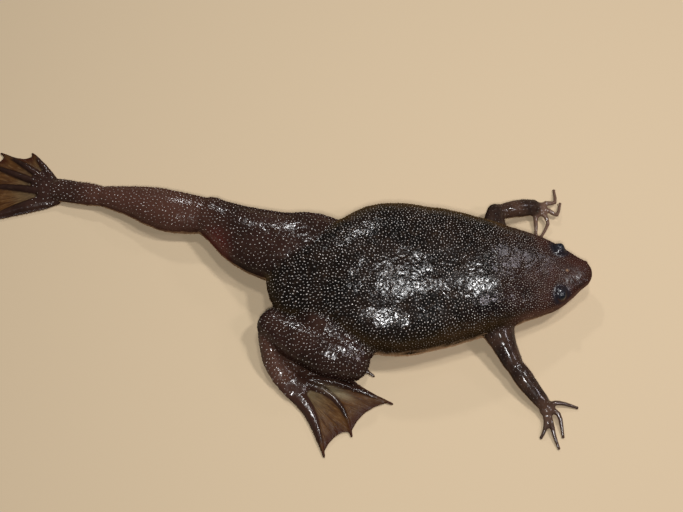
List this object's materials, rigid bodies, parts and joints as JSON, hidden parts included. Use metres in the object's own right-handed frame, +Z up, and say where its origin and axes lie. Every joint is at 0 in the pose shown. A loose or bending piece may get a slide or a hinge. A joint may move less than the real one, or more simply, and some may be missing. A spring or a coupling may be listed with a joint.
{
  "type": "surinam toad",
  "caption": "Still life-size model of an aquatic toad lying on its belly, one hind leg stretched back, the other folded with its webbed foot spread, both arms reaching out",
  "frame": {"origin": "on the floor under the middle of the whole animal's bounding box", "axes": "+X towards the snout, +Y towards the animal's left, +Z up from the floor"},
  "size_m": [0.1466, 0.0774, 0.0157],
  "materials": {
    "skin_back": "wet gloss",
    "skin_head": "wet gloss",
    "skin_limb": "wet gloss",
    "skin_foot": "wet gloss",
    "eye": "high gloss"
  },
  "bodies": {
    "root": {"torso": "skin_back", "head": "skin_head", "eye_left": "eye", "eye_right": "eye", "upper_arm_left": "skin_limb", "upper_arm_right": "skin_limb", "forearm_left": "skin_limb", "forearm_right": "skin_limb", "hand_left": "skin_limb", "hand_right": "skin_limb", "thigh_left": "skin_limb", "thigh_right": "skin_limb", "shank_left": "skin_limb", "shank_right": "skin_limb", "tarsus_left": "skin_limb", "tarsus_right": "skin_limb", "foot_left": "skin_foot", "foot_right": "skin_foot"}
  },
  "joints": []
}
